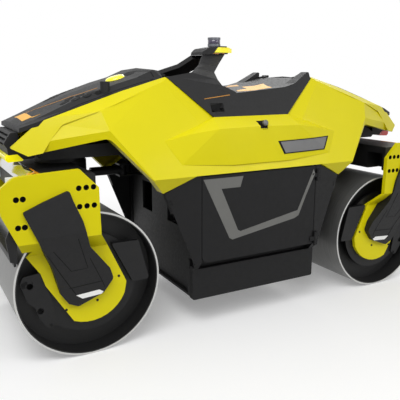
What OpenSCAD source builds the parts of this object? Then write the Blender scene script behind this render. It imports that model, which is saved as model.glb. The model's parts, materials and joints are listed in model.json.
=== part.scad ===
/* [Running gear] */
// Distance between the front and the rear steering pivots
wheelbase = 3260; // [3220:5:3320]
// Diameter of the drums
drum_d = 1220; // [1190:5:1230]
// Width of the drums
drum_w = 1500; // [1470:5:1510]
// Thickness of the rolled drum shell
drum_wall = 24; // [18:1:32]
// Depth of the dished drum ends
dish_depth = 165; // [155:5:175]
// Radius of the stub axles
axle_r = 60; // [50:1:70]
/* [Yokes] */
// Gap between a drum end and the upper yoke plate
plate_gap = 62; // [56:1:68]
// Thickness of the yoke side plates
plate_t = 40; // [34:1:44]
// How far the lower yoke plates sit inside the drum ends
plate_recess = 76; // [70:1:80]
// Radius of the bolt holes in the yoke plates
plate_hole_r = 22; // [18:1:24]
// Radius of the steering pivot pin
pivot_r = 100; // [90:1:106]
/* [Body] */
// Height of the lower edge of the yellow shells
edge_z = 1437; // [1433:1:1441]
// Half width of the body at that edge
edge_y = 840; // [836:1:846]
// Height of the saddle notch between the two shell peaks
notch_z = 1912; // [1902:1:1922]
// Height of the shell peaks
peak_z = 2260; // [2254:1:2266]
// Wall of the moulded shells
shell_wall = 26; // [20:1:30]
// Depth of the flanges along the shell edges
flange_depth = 96; // [80:1:110]
// Height of the underside of the skirt
skirt_z = 278; // [268:1:290]
/* [Doors] */
// Length of the side doors
door_w = 1256; // [1236:1:1266]
// Height of the lower door edge
door_z0 = 640; // [630:1:650]
// Height of the upper door edge
door_z1 = 1422; // [1410:1:1424]
// Radius of the door and hood hinge pins
pin_r = 7; // [5:0.5:8]
/* [Mast] */
// Height of the bridge on top of the mast wings
bridge_z = 2470; // [2450:1:2490]
// Diameter of the scanner housing
scanner_d = 126; // [116:1:136]
/* [Hidden] */
$fn = 48;

yellow = "#e1d723";
black = "#1c1c1d";
dark_grey = "#2f3032";
steel = "#8a8a88";
amber = "#ff9a20";
clear_lamp = "#e8ecef";

// Running fit between a pin and its bore
fit = 0.05;
// Face gap between a moving piece and the piece that carries it
face_gap = 0.5;
// Gap between a lid and its frame
lid_gap = 6;
// Larger than any cut that it makes
reach = 6000;

// Drum diameter for which the heights are written, and what another one adds to the body's heights
design_drum_d = 1220;
lift = drum_d - design_drum_d;

drum_r = drum_d / 2;
axle_x = wheelbase / 2;
axle_z = drum_r;
drum_y = drum_w / 2;
web_y = drum_y - dish_depth;
web_t = 26;

// Yoke plate faces, measured from the centre plane
plate_y = drum_y + plate_gap;
hub_y = drum_y - plate_recess;
// Heights between which the yoke plate bends inwards
bend_low_z = 915;
bend_top_z = 1050;
head_z0 = 1290;
head_z1 = 1540;
arm_z0 = head_z1 + 50;
arm_z1 = arm_z0 + 110;

// Side plane of the shells: how much it leans in for each unit of height
lean = 0.415;
under_lean = 0.547;
arch_x = axle_x - 235;
arch_z = edge_z + 343;
tip_x = axle_x - 654;
tip_z = edge_z - 137;
side_x = door_w / 2 + 58;
nose_x = axle_x + 470;
peak_x = 804;
notch_x = 407;
nose_normal = [0.364, 0.878, 0.312];
// Half width of the hood opening, and the chamfer band beside it: its width and how far it falls
opening_y = 470;
band_w = 102;
band_fall = 60;

function unit(v) = v / norm(v);
function lean_y(z) = edge_y - lean * (z - edge_z);
function ahead(share) = peak_x + share * (nose_x - peak_x);
function facing(p, q, r) = let (n = cross(q - p, r - p)) n.y < 0 ? -n : n;
function mirror_rows(rows) = concat(rows, [for (i = [len(rows) - 1:-1:0]) [-rows[i][0], rows[i][1], rows[i][2]]]);

// Points of an arc of radius r that rounds the corner b between a and c
function corner(a, b, c, r, steps = 5) =
    let (u = unit(a - b), w = unit(c - b), half = acos(u * w) / 2)
    let (middle = b + unit(u + w) * r / sin(half))
    let (start = b + u * r / tan(half) - middle, end = b + w * r / tan(half) - middle)
    [for (i = [0:steps]) middle + r * unit(start * (steps - i) + end * i)];

// Outline whose rows are x, height and corner radius
function rounded(rows) =
    let (n = len(rows), at = [for (row = rows) [row[0], row[1]]])
    [for (i = [0:n - 1])
        each rows[i][2] == 0 ? [at[i]] : corner(at[(i + n - 1) % n], at[i], at[(i + 1) % n], rows[i][2])];

// Prism with an outline in x and height, between two y values
module side_prism(y0, y1) {
    translate([0, y1, 0]) rotate([90, 0, 0]) linear_extrude(y1 - y0) children();
}

// Prism with an outline in y and height, between two x values
module end_prism(x0, x1) {
    translate([x0, 0, 0]) rotate([90, 0, 90]) linear_extrude(x1 - x0) children();
}

module both_sides() {
    children();
    mirror([0, 1, 0]) children();
}

// Places what is drawn at the body's heights
module on_drums() {
    translate([0, 0, lift]) children();
}

module both_ends() {
    children();
    mirror([1, 0, 0]) children();
}

module rod_y(r, y0, y1) {
    translate([0, y1, 0]) rotate([90, 0, 0]) cylinder(r = r, h = y1 - y0);
}

// Everything beyond a plane through a point, the plane moved back by an inset
module beyond(normal, point, inset = 0) {
    n = unit(normal);
    translate(point - n * inset) rotate([0, acos(n.z), atan2(n.y, n.x)])
        translate([-reach, -reach, 0]) cube([2 * reach, 2 * reach, reach]);
}

// Closed solid through rings of points, each as long and clockwise as seen from before the first ring
module loft(rings) {
    n = len(rings[0]);
    last = len(rings) - 1;
    polyhedron(
        points = [for (ring = rings) each ring],
        faces = concat(
            [[for (i = [0:n - 1]) i]],
            [[for (i = [n - 1:-1:0]) last * n + i]],
            [for (k = [0:last - 1], i = [0:n - 1])
                each [[k * n + i, (k + 1) * n + i, (k + 1) * n + (i + 1) % n],
                      [k * n + i, (k + 1) * n + (i + 1) % n, k * n + (i + 1) % n]]]
        )
    );
}

// Top line of the shells ahead of the peak, rows of x and height
top_line = [
    [peak_x, peak_z],
    [ahead(0.316), peak_z - 117],
    [ahead(0.583), peak_z - 232],
    [ahead(0.847), peak_z - 348],
];

// Shell outline, rows of x, height and corner radius
shell_rows = mirror_rows([
    [notch_x, notch_z, 0],
    [peak_x, peak_z, 12],
    [top_line[1].x, top_line[1].y, 0],
    [top_line[2].x, top_line[2].y, 0],
    [top_line[3].x, top_line[3].y, 0],
    [nose_x + 22, peak_z - 543, 8],
    [axle_x + 373, arch_z - 126, 0],
    [arch_x, arch_z, 70],
    [tip_x, tip_z, 12],
    [side_x, edge_z, 0],
]);

// Points where the creases of the side meet
crest = [arch_x - 4, lean_y(arch_z + 61), arch_z + 61];
arch_edge = [arch_x, lean_y(arch_z) - 30, arch_z];
tip = [tip_x, lean_y(tip_z), tip_z];
groove_foot = [axle_x + 200, 521, arch_z - 10];
groove_bend = [axle_x + 98, 520, arch_z + 111];
groove_ridge = [axle_x - 196, 611, arch_z + 216];
groove_top = [axle_x - 638, lean_y(peak_z - 106), peak_z - 106];
groove_depth = 14;
peak_crease = [peak_x + 68, lean_y(peak_z - 27), peak_z - 27];
belt_crease = [notch_x + 120, lean_y(notch_z - 91), notch_z - 91];
notch_middle = [notch_x + 198, lean_y(notch_z + 174) - 18, notch_z + 174];

// Belt that swells out of the leaning side, rows of x, how far it stands out, and height of its rim
belt_rows = [
    [930, 0, notch_z - 178],
    [700, 52, notch_z - 129],
    [440, 105, notch_z - 93],
    [0, 112, notch_z - 86],
];
// Lower edge of the belt, rows of x, how far it stands out, and height
belt_foot = [[808, 0, edge_z + 99], [300, 14, edge_z + 66]];

// Cuts a facet through three points, inside an outline in x and height
module facet(p, q, r, outline, inset) {
    intersection() {
        side_prism(0, 1000) polygon(outline);
        beyond(facing(p, q, r), p, inset);
    }
}

// Shallow recess between the chamfer band and the crest of the side
module groove(points, sunk) {
    hull() {
        for (point = points)
            translate(point) cube([1, 60, 1]);
        for (point = sunk)
            translate(point - [0, groove_depth, 0]) cube([1, 60, 1]);
    }
}

module side_facets(inset) {
    across = [0, band_w, -band_fall];
    for (i = [0:len(top_line) - 2]) {
        a = [top_line[i].x, opening_y, top_line[i].y];
        b = [top_line[i + 1].x, opening_y, top_line[i + 1].y];
        beyond(facing(a, b, a + across), a, inset);
    }
    beyond(nose_normal, [arch_x, lean_y(arch_z), arch_z], inset);
    facet(crest, groove_foot, arch_edge, [
        [arch_x, arch_z - 200], [crest.x, crest.z], [groove_foot.x, groove_foot.z], [axle_x + 330, arch_z - 200]
    ], inset);
    facet(crest, tip, arch_edge, [
        [crest.x, crest.z], [tip.x - 1, tip.z - 10], [arch_x + 2, arch_z - 200]
    ], inset);
    facet(peak_crease, belt_crease, notch_middle, [
        [peak_crease.x + 20, peak_crease.z + 24], [belt_crease.x, belt_crease.z],
        [notch_x - 8, notch_z - 4], [peak_x - 6, peak_z + 10]
    ], inset);
}

// One side of the body as a solid, all its faces moved in by an inset
module side_form(inset) {
    difference() {
        side_prism(0, 900) polygon(rounded(shell_rows));
        beyond([0, 1, lean], [0, edge_y, edge_z], inset);
        beyond([0, 1, -under_lean], [0, edge_y, edge_z], inset);
        both_ends() side_facets(inset);
    }
}

module belt_form(inset) {
    hull() {
        both_ends() for (row = belt_rows)
            translate([row[0], lean_y(row[2]) + row[1] - inset, row[2] - inset / 2]) cube([1, 1, 1]);
        both_ends() for (row = belt_foot)
            translate([row[0], lean_y(row[2]) + row[1] - inset, row[2]]) cube([1, 1, 1]);
        both_ends() {
            translate([notch_x, lean_y(notch_z) - 8 - inset, notch_z - inset - 1]) cube([1, 1, 1]);
            translate([belt_foot[0][0], edge_y - 240, edge_z + 20]) cube([1, 1, 1]);
        }
    }
}

// Front hood, rows of x, half width, height of the rim and height of the crown
front_hood_rows = [
    [peak_x + 14, 462, peak_z - 14, peak_z + 70],
    [ahead(0.055), 463, peak_z - 30, peak_z + 80],
    [ahead(0.174), 464, peak_z - 66, peak_z + 14],
    [ahead(0.316), 464, peak_z - 117, peak_z - 38],
    [ahead(0.583), 462, peak_z - 232, peak_z - 157],
    [ahead(0.847), 446, peak_z - 348, peak_z - 311],
    [ahead(0.954), 400, peak_z - 398, peak_z - 366],
];
// Rear hood, lower than the front one
rear_hood_rows = [
    [peak_x + 14, 462, peak_z - 24, peak_z + 2],
    [ahead(0.174), 464, peak_z - 66, peak_z - 34],
    [ahead(0.316), 464, peak_z - 117, peak_z - 80],
    [ahead(0.583), 462, peak_z - 232, peak_z - 190],
    [ahead(0.847), 446, peak_z - 348, peak_z - 312],
    [ahead(0.954), 400, peak_z - 398, peak_z - 364],
];

module hood_opening() {
    side_rows = [for (row = front_hood_rows) [row[0], row[1] + lid_gap]];
    tip_rows = [[nose_x + 100, 360], [nose_x + 100, 0], [0, 0], [0, front_hood_rows[0][1] + lid_gap]];
    translate([0, 0, edge_z]) linear_extrude(reach) polygon(concat(side_rows, tip_rows));
}

module shell() {
    difference() {
        union() {
            side_form(0);
            belt_form(0);
        }
        intersection() {
            union() {
                side_form(shell_wall);
                belt_form(shell_wall);
            }
            side_prism(0, 900) offset(delta = -shell_wall) polygon(rounded(shell_rows));
        }
        side_form(flange_depth);
        both_ends() {
            hood_opening();
            groove([groove_foot, crest], [groove_bend, groove_ridge]);
            groove([crest, groove_top], [groove_ridge]);
        }
        translate([-belt_foot[0][0], 0, edge_z]) cube([2 * belt_foot[0][0], edge_y - 240, notch_z - edge_z]);
    }
}

module left_shell() {
    color(yellow) on_drums() difference() {
        shell();
        translate(switch_at) cube([switch_size.x, reach, switch_size.z]);
    }
}

module right_shell() {
    color(yellow) on_drums() mirror([0, 1, 0]) shell();
}

// Half length, half width and top of the lower box skirt
skirt_x = door_w / 2 + 62;
skirt_y = 757;
skirt_top = 567;

// Flank panels beside the doors
flank_gap = 8;
flank_rows = [
    [door_w / 2 + lid_gap, edge_z - flank_gap, 0],
    [side_x, edge_z - flank_gap, 0],
    [tip_x - 16, tip_z, 0],
    [door_w / 2 + 72, 650, 0],
    [door_w / 2 + 62, skirt_top, 0],
    [door_w / 2 + lid_gap, skirt_top, 0],
];
door_y = edge_y - 18;
door_t = 32;
flank_t = 40;
flank_depth = 110;
flank_foot_lean = 0.8;

module flank() {
    difference() {
        side_prism(door_y - flank_depth, door_y) polygon(rounded(flank_rows));
        beyond([0.165, 1, 0], [door_w / 2 + 20, door_y, 0]);
        beyond([0, 1, -flank_foot_lean], [0, skirt_y, skirt_top]);
        translate([door_w / 2 + 40, 0, skirt_top + 30])
            cube([(tip_x - door_w / 2) * 0.62, door_y - flank_t, edge_z - skirt_top - 90]);
    }
}

// Knuckles of one upright hinge on the door's rear edge, rows of start and end height
hinge_x = -(door_w / 2 + 16);
hinge_y = door_y + 14;
knuckle_r = pin_r + 6;
door_hinges = [[625, 762], [1279, 1388]];

module knuckle(z0, z1) {
    translate([hinge_x, hinge_y, z0]) cylinder(r = knuckle_r, h = z1 - z0);
}

module frame_knuckles() {
    for (row = door_hinges) {
        third = (row[1] - row[0]) / 3;
        knuckle(row[0], row[0] + third);
        knuckle(row[1] - third, row[1]);
        translate([hinge_x, hinge_y, row[0]]) cylinder(r = pin_r, h = row[1] - row[0]);
        for (z = [row[0], row[1] - third])
            translate([hinge_x - 34, door_y - 8, z]) cube([34, hinge_y - door_y + 8, third]);
    }
}

module left_flank() {
    color(dark_grey) on_drums() both_ends() flank();
    color(black) on_drums() frame_knuckles();
}

module right_flank() {
    mirror([0, 1, 0]) left_flank();
}

// Lower box skirt, flat plate with returned edges
module skirt() {
    difference() {
        side_prism(skirt_y - 60, skirt_y)
            polygon(rounded([
                [-skirt_x, skirt_top, 0], [-skirt_x, skirt_z, 18], [skirt_x, skirt_z, 18], [skirt_x, skirt_top, 0]
            ]));
        side_prism(skirt_y - 70, skirt_y - 20)
            polygon([
                [-skirt_x + 20, skirt_top - 20], [-skirt_x + 20, skirt_z + 20],
                [skirt_x - 20, skirt_z + 20], [skirt_x - 20, skirt_top - 20]
            ]);
    }
}

module left_skirt() {
    color(dark_grey) on_drums() skirt();
}

module right_skirt() {
    color(dark_grey) on_drums() mirror([0, 1, 0]) skirt();
}

// Welded frame: floor tub, bulkheads and upper rails
tub_x = door_w / 2 + 22;
tub_y = skirt_y - 60;
rail_y = 330;
rail_h = 110;
frame_end = tub_x + 10;

module main_frame() {
    color(black) on_drums() {
        translate([-skirt_x, -tub_y, skirt_z + 20]) cube([2 * skirt_x, 2 * tub_y, 20]);
        both_sides() translate([-skirt_x, tub_y - 40, skirt_z + 20])
            cube([2 * skirt_x, 40, skirt_top + 60 - skirt_z]);
        both_ends() difference() {
            translate([tub_x - 20, -tub_y, skirt_z + 20]) cube([30, 2 * tub_y, arm_z0 - skirt_z - 20]);
            both_sides() translate([tub_x - 40, -120 + 300, 900]) cube([80, 240, 300]);
        }
        both_sides() translate([-frame_end, rail_y - rail_h, arm_z0]) cube([2 * frame_end, rail_h, rail_h]);
        both_sides() translate([-tub_x, tub_y - 60, edge_z - 40]) cube([2 * tub_x, 60, 40]);
        both_sides() translate([-door_w / 2, tub_y - 60, edge_z - 40])
            cube([door_w, door_y - door_t - lid_gap - tub_y + 60, 40]);
    }
}

// Engine, pumps and tanks as one block on four feet
engine_l = 960;
engine_w = 680;
engine_h = 900;
foot_l = 100;
foot_h = 60;
floor_z = skirt_z + 40;

module engine_block() {
    color(steel) on_drums() translate([-engine_l / 2, -engine_w / 2, floor_z + foot_h])
        cube([engine_l, engine_w, engine_h]);
    color(black) on_drums() both_ends() both_sides()
        translate([engine_l / 2 - foot_l - 40, engine_w / 2 - foot_h - 20, floor_z]) cube([foot_l, foot_h, foot_h]);
}

// Arm over the drum with the slewing ring and the pivot pin
gusset_z = arm_z0 - 340;
ring_r = 220;

module arm() {
    difference() {
        union() {
            side_prism(-rail_y, rail_y) polygon(rounded([
                [frame_end, arm_z0, 0], [frame_end, arm_z1, 0], [axle_x + 150, arm_z1, 60], [axle_x + 260, arm_z0 + 40, 20],
                [axle_x + 220, arm_z0, 20]
            ]));
            side_prism(-rail_y, -rail_y + 30) polygon([
                [frame_end, arm_z0], [frame_end, gusset_z], [anchor_x + 140, arm_z0]
            ]);
            side_prism(rail_y - 30, rail_y) polygon([
                [frame_end, arm_z0], [frame_end, gusset_z], [anchor_x + 140, arm_z0]
            ]);
            translate([axle_x, 0, head_z1 + face_gap]) cylinder(r = ring_r, h = arm_z0 - head_z1);
            translate([axle_x, 0, head_z0 + 20]) cylinder(r = pivot_r, h = arm_z0 - head_z0);
            fork(frame_end, anchor_x + 50, anchor_half);
            translate([anchor_x, anchor_y, cylinder_z - cylinder_r - 10])
                cylinder(r = anchor_pin_r, h = 2 * cylinder_r + 20);
        }
    }
}

module front_arm() {
    color(black) on_drums() arm();
}

module rear_arm() {
    color(black) on_drums() mirror([1, 0, 0]) arm();
}

// Deck between the shell peaks, rows of x and height
deck_rows = [
    [peak_x - 6, peak_z + 6, 0],
    [700, peak_z + 2, 0],
    [560, peak_z - 28, 0],
    [147, peak_z - 146, 60],
    [-453, peak_z - 94, 40],
    [-peak_x + 30, peak_z - 10, 0],
    [-peak_x + 6, peak_z - 12, 0],
    [-notch_x - 4, notch_z, 0],
    [notch_x + 4, notch_z, 0],
    [peak_x - 6, peak_z - 2, 0],
];
// Horn beside each rear peak, rows of x and height
horn_rows = [
    [-520, peak_z - 110], [-520, peak_z - 92], [-758, peak_z + 46], [-peak_x + 26, peak_z + 40],
    [-peak_x + 26, peak_z - 60]
];
horn_y = 380;

// Space that the shells take up beside the hood opening
module shell_space() {
    both_sides() side_prism(opening_y - 4, edge_y) polygon(rounded(shell_rows));
}

module saddle_deck() {
    color(dark_grey) on_drums() difference() {
        union() {
            side_prism(-edge_y, edge_y) polygon(rounded(deck_rows));
            both_sides() side_prism(horn_y, edge_y) polygon(horn_rows);
        }
        shell_space();
        both_sides() beyond([0, 1, lean], [0, edge_y, edge_z], 4);
        both_sides() translate([290, lean_y(notch_z + 78) - 30, notch_z + 43]) cube([130, 100, 76]);
        side_prism(-420, 420) polygon([
            [notch_x - 60, notch_z - 10], [notch_x - 60, notch_z + 60], [120, notch_z + 158], [-440, notch_z + 200],
            [-notch_x + 60, notch_z + 60], [-notch_x + 60, notch_z - 10]
        ]);
    }
    color(black) on_drums() hood_frame_knuckles();
}

switch_at = [-70, 690, 1806];
switch_size = [80, 45, 64];

module master_switch() {
    color(black) on_drums() translate(switch_at) cube(switch_size);
    color(steel) on_drums() translate(switch_at + [40, switch_size.y - 10, 36]) rotate([-90, 0, 0]) cylinder(r = 20, h = 36);
}

// Mast wing, rows of front x, rear x, y, front height and rear height
wing_rows = [
    [587, 100, 572, peak_z - 190, peak_z - 148],
    [780, 235, 484, peak_z + 2, peak_z - 75],
    [520, 249, 430, peak_z + 40, peak_z - 24],
    [430, 233, 340, peak_z + 80, peak_z + 41],
    [330, 126, 240, peak_z + 122, peak_z + 118],
    [236, -12, 124, bridge_z - 4, bridge_z + 6],
];
// How far the inner face of a wing lies in from its outer face, and below it
wing_in = 46;
wing_drop = 34;

module wing() {
    loft([for (row = wing_rows) [
        [row[0], row[2], row[3]], [row[1], row[2], row[4]],
        [row[1], row[2] - wing_in, row[4] - wing_drop], [row[0], row[2] - wing_in, row[3] - wing_drop]
    ]]);
}

module mast_wings() {
    color(black) on_drums() difference() {
        both_sides() wing();
        side_prism(-edge_y, edge_y) polygon(rounded(deck_rows));
        both_sides() beyond([0, 1, lean], [0, edge_y, edge_z], 4);
        shell_space();
        bridge();
    }
}

// Bridge over the wings, with a slot at the rear that holds the dome
bridge_y = 150;
bridge_top = bridge_z + 80;
slot_z0 = bridge_z + 19;
slot_z1 = bridge_z + 71;

// Plan of the bridge's rear end and of the dome, rows of x and half width
bridge_plan = [[270, 96], [200, 138], [40, 138], [-60, 116], [-120, 82], [-148, 40]];

module rounded_plan(inset) {
    rows = [for (row = bridge_plan) [row[0], row[1] - inset]];
    linear_extrude(reach) polygon(concat(rows, [for (i = [len(rows) - 1:-1:0]) [rows[i][0], -rows[i][1]]]));
}

module bridge() {
    intersection() {
        side_prism(-bridge_y, bridge_y) polygon([
            [240, bridge_z - 3], [232, bridge_z + 24], [180, bridge_z + 60], [60, bridge_top], [-36, bridge_top],
            [-36, slot_z1], [72, slot_z1], [116, slot_z0], [-56, slot_z0], [-44, bridge_z + 6], [127, bridge_z + 2]
        ]);
        rounded_plan(0);
    }
}

module mast_bridge() {
    color(black) on_drums() bridge();
}

module scanner() {
    on_drums() translate([39, 0, bridge_top]) {
        color("#6b6d72") cylinder(d = scanner_d, h = 24);
        color("#43315c") translate([0, 0, 24]) cylinder(d = scanner_d - 6, h = 40);
        color("#6b6d72") translate([0, 0, 64]) cylinder(d = scanner_d, h = 22);
    }
}

module mast_dome() {
    color(yellow) on_drums() intersection() {
        side_prism(-bridge_y, bridge_y) polygon(rounded([
            [116, slot_z0, 0], [72, slot_z1, 0], [-60, slot_z1, 20], [-116, slot_z1 - 12, 20],
            [-147, slot_z0 + 16, 12], [-144, slot_z0, 0]
        ]));
        rounded_plan(6);
    }
}

// Nose: tray under the body front and ribbed grille between the shells
nose_y = 300;
lip_z = 1606;
nose_top = 1826;

module nose_outline() {
    polygon(rounded([
        [axle_x + 262, lip_z + 40, 0], [axle_x + 290, lip_z, 20], [nose_x - 10, lip_z, 20],
        [nose_x + 20, lip_z + 50, 10], [nose_x + 24, 1700, 0], [nose_x + 50, 1740, 20],
        [nose_x - 10, nose_top, 20], [nose_x - 70, nose_top, 0], [nose_x - 70, arm_z1 + 30, 0],
        [axle_x + 40, arm_z1 + 30, 0], [axle_x + 40, arm_z1, 0], [axle_x + 262, arm_z1, 0]
    ]));
}

module nose() {
    difference() {
        side_prism(-nose_y, nose_y) nose_outline();
        for (z = [1724:34:1800])
            side_prism(-nose_y + 40, nose_y - 40) translate([nose_x - 20, z]) square([100, 18]);
    }
}

module front_nose() {
    color(black) on_drums() nose();
}

module rear_nose() {
    color(black) on_drums() mirror([1, 0, 0]) nose();
}

module lens() {
    difference() {
        both_sides() translate([nose_x + 4, 120, lip_z + 16]) cube([24, 150, 26]);
        side_prism(-nose_y, nose_y) nose_outline();
    }
}

module front_lens() {
    color("#ffe000") on_drums() lens();
}

module rear_lens() {
    color("#ff5030") on_drums() mirror([1, 0, 0]) lens();
}

// Side doors
module door() {
    difference() {
        side_prism(door_y - door_t, door_y) polygon(rounded([
            [-door_w / 2, door_z0, 12], [-door_w / 2, door_z1, 6], [door_w / 2, door_z1, 6], [door_w / 2, door_z0, 60]
        ]));
        side_prism(door_y - door_t - 1, door_y - 8) polygon(rounded([
            [-door_w / 2 + 40, door_z0 + 40, 12], [-door_w / 2 + 40, door_z1 - 40, 12],
            [door_w / 2 - 40, door_z1 - 40, 12], [door_w / 2 - 40, door_z0 + 40, 40]
        ]));
    }
    for (row = door_hinges) {
        third = (row[1] - row[0]) / 3;
        difference() {
            union() {
                knuckle(row[0] + third + 1, row[1] - third - 1);
                translate([0, 0, row[0] + third + 1]) linear_extrude(third - 2) polygon([
                    [hinge_x, hinge_y - 6], [-door_w / 2 - 2, door_y + 1], [-door_w / 2 + 4, door_y - 6],
                    [-door_w / 2 + 40, door_y - 6], [-door_w / 2 + 40, door_y + 8], [hinge_x, hinge_y + 8]
                ]);
            }
            translate([hinge_x, hinge_y, 0]) cylinder(r = pin_r + fit, h = reach);
        }
    }
}

module left_door() {
    color(dark_grey) on_drums() door();
}

module right_door() {
    color(dark_grey) on_drums() mirror([0, 1, 0]) door();
}

// Hoods, hinged at their inner ends
hood_hinge_x = peak_x;
front_hinge_z = peak_z + 30;
rear_hinge_z = peak_z + 2;
hood_skin = 24;
hood_hinge_y = 300;
hood_lug = 34;

// Lug of a hood hinge between two y values, reaching from the hinge axis to x
module hood_knuckle(y0, y1, x, z) {
    translate([hood_hinge_x, 0, z]) rod_y(knuckle_r, y0, y1);
    side_prism(y0, y1) polygon([
        [hood_hinge_x, z + 6], [hood_hinge_x, z - knuckle_r], [x, z - knuckle_r - 18], [x, z - 6]
    ]);
}

module hood_pin(r, z) {
    translate([hood_hinge_x, 0, z]) rod_y(r, hood_hinge_y - hood_lug, hood_hinge_y + hood_lug);
}

module fixed_knuckles(z) {
    both_sides() {
        for (y = [hood_hinge_y - hood_lug, hood_hinge_y + hood_lug])
            hood_knuckle(y - hood_lug / 2 + 1, y + hood_lug / 2 - 1, peak_x - 60, z);
        hood_pin(pin_r, z);
    }
}

module hood_frame_knuckles() {
    fixed_knuckles(front_hinge_z);
    mirror([1, 0, 0]) fixed_knuckles(rear_hinge_z);
}

// Half width, heights of rim and crown of a hood at one x, as a ring of points
hood_flank = 84;

function hood_ring(row, inset) =
    let (x = row[0], w = row[1] - inset, rim = row[2] - 30, crown = row[3] - inset)
    let (brow = rim + 34 - inset * 0.95, bend = crown - 18 + inset / 6)
    [[x, w, rim - inset], [x, w, brow], [x, w - hood_flank, bend], [x, 0, crown],
     [x, -w + hood_flank, bend], [x, -w, brow], [x, -w, rim - inset]];

module hood_form(rows) {
    loft([for (row = rows) hood_ring(row, 0)]);
}

module hood(rows, z) {
    last = len(rows) - 1;
    difference() {
        hood_form(rows);
        loft([for (i = [0:last])
            hood_ring(rows[i] + [(i == 0 ? 1 : i == last ? -1 : 0) * hood_skin, 0, 0, 0], hood_skin)]);
    }
    both_sides() difference() {
        hood_knuckle(hood_hinge_y - hood_lug / 2, hood_hinge_y + hood_lug / 2, peak_x + 30, z);
        hood_pin(pin_r + fit, z);
    }
}

module front_hood() {
    color(dark_grey) on_drums() hood(front_hood_rows, front_hinge_z);
}

module rear_hood() {
    color(dark_grey) on_drums() mirror([1, 0, 0]) hood(rear_hood_rows, rear_hinge_z);
}

module position_dome() {
    color(yellow) on_drums() difference() {
        translate([ahead(0.238), 95, peak_z - 42]) rotate([0, 16, 0]) cylinder(r1 = 90, r2 = 56, h = 54);
        hood_form(front_hood_rows);
    }
}

module round_cap() {
    color(black) on_drums() difference() {
        translate([ahead(0.399), 392, peak_z - 130]) cylinder(r = 40, h = 94);
        hood_form(front_hood_rows);
    }
}

// Yoke, drawn about its own pivot with +x away from the machine
head_x0 = -60;
head_x1 = 470;
// Bay behind each upper bolt plate, open below and towards the body
bay_x = 130;
bay_y0 = plate_y - 250;
bay_y1 = plate_y - 40;
bay_top = head_z1 - 70;

module crosshead() {
    difference() {
        union() {
            side_prism(-plate_y, plate_y) polygon(rounded([
                [head_x0, head_z0, 20], [head_x0, head_z1, 20], [head_x1 - 100, head_z1, 30], [head_x1, head_z1 - 70, 30],
                [head_x1, head_z0 + 60, 30], [head_x1 - 60, head_z0, 20]
            ]));
            translate([0, 0, head_z0]) cylinder(r = 230, h = head_z1 - head_z0);
            translate([-axle_x, 0, 0]) fork(lug_x - 40, axle_x, eye_half);
        }
        both_sides() for (hole = inner_holes)
            translate([hole[0], 0, hole[1]]) rod_y(plate_hole_r, bay_y1 - 1, 1000);
        both_sides() translate([head_x0 - 1, bay_y0, head_z0 - 1])
            cube([bay_x - head_x0 + 1, bay_y1 - bay_y0, bay_top - head_z0 + 1]);
        translate([0, 0, head_z0 - 1]) cylinder(r = pivot_r + fit, h = head_z1);
    }
}

// Heights on the upper part of a plate, which follows the body, and on its lower part, which follows the axle
function high(z) = z + lift;
function low(z) = z + lift / 2;
bend_low = low(bend_low_z);
bend_top = low(bend_top_z);

// Plate outline about the pivot, rows of x, height and corner radius
hub_arc_r = 335;
rim_clearance = 14;
plate_rows = concat([
    [75, high(1583), 12], [-72, high(1431), 12], [-74, high(1231), 0], [-77, bend_top, 0],
    [-168, bend_low, 40], [-324, low(570), 30]],
    [for (a = [205:10:295]) [hub_arc_r * cos(a), axle_z + hub_arc_r * sin(a), 0]],
    [[351, low(648), 30], [384, low(754), 30], [501, low(930), 30], [526, low(973), 30],
     [665, high(1282), 40], [690, high(1460), 60], [560, high(1560), 60]]
);

// Bolt holes, rows of x and height
inner_holes = [for (x = [-28, 30, 88], z = [1294, 1438]) [x, z]];
outer_holes = [for (x = [504, 552], z = [1185, 1396]) [x, z]];

module bent_strip(thickness) {
    end_prism(-900, 1200) polygon([
        [plate_y, 2 * drum_d], [plate_y, bend_top], [hub_y, bend_low], [hub_y, 0],
        [hub_y + thickness, 0], [hub_y + thickness, bend_low],
        [plate_y + thickness, bend_top], [plate_y + thickness, 2 * drum_d]
    ]);
}

module plate() {
    difference() {
        intersection() {
            side_prism(0, 1000) polygon(rounded(plate_rows));
            bent_strip(plate_t);
        }
        translate([0, 0, axle_z]) difference() {
            rod_y(drum_r + 60, 0, drum_y + rim_clearance);
            rod_y(drum_r - drum_wall - rim_clearance, -1, drum_y + rim_clearance + 1);
        }
        for (hole = concat(inner_holes, outer_holes))
            translate([hole[0], 0, high(hole[1])]) rod_y(plate_hole_r, 0, 1000);
    }
}

// Moulded cover on the outside of the plate
cover_rows = [
    [168, high(1432), 20], [142, high(1351), 20], [72, high(1184), 20], [18, low(964), 20],
    [-156, low(741), 40], [-191, low(640), 40], [-105, low(525), 30], [109, low(443), 30],
    [188, low(482), 20], [247, low(571), 20], [311, low(815), 30], [511, high(1285), 16],
    [510, high(1300), 10], [368, high(1360), 20]
];

module cover() {
    inner = hub_y + plate_t;
    outer = plate_y + plate_t;
    intersection() {
        side_prism(0, 1000) polygon(rounded(cover_rows));
        end_prism(-900, 1200) polygon([
            [inner, low(400)], [inner + 40, low(430)], [inner + 60, low(640)], [outer + 24, bend_top + 40],
            [outer + 24, high(1500)], [outer, high(1500)], [outer, bend_top], [inner, bend_low]
        ]);
    }
}

// Hub carrier: disc behind the plate, drive housing and stub axle
module hub() {
    translate([0, 0, axle_z]) {
        rod_y(drum_r * 0.69, hub_y - 34, hub_y);
        rod_y(drum_r * 0.344, web_y + 2, hub_y - 34);
        rod_y(axle_r, web_y - 90, web_y + 2);
    }
}

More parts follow.
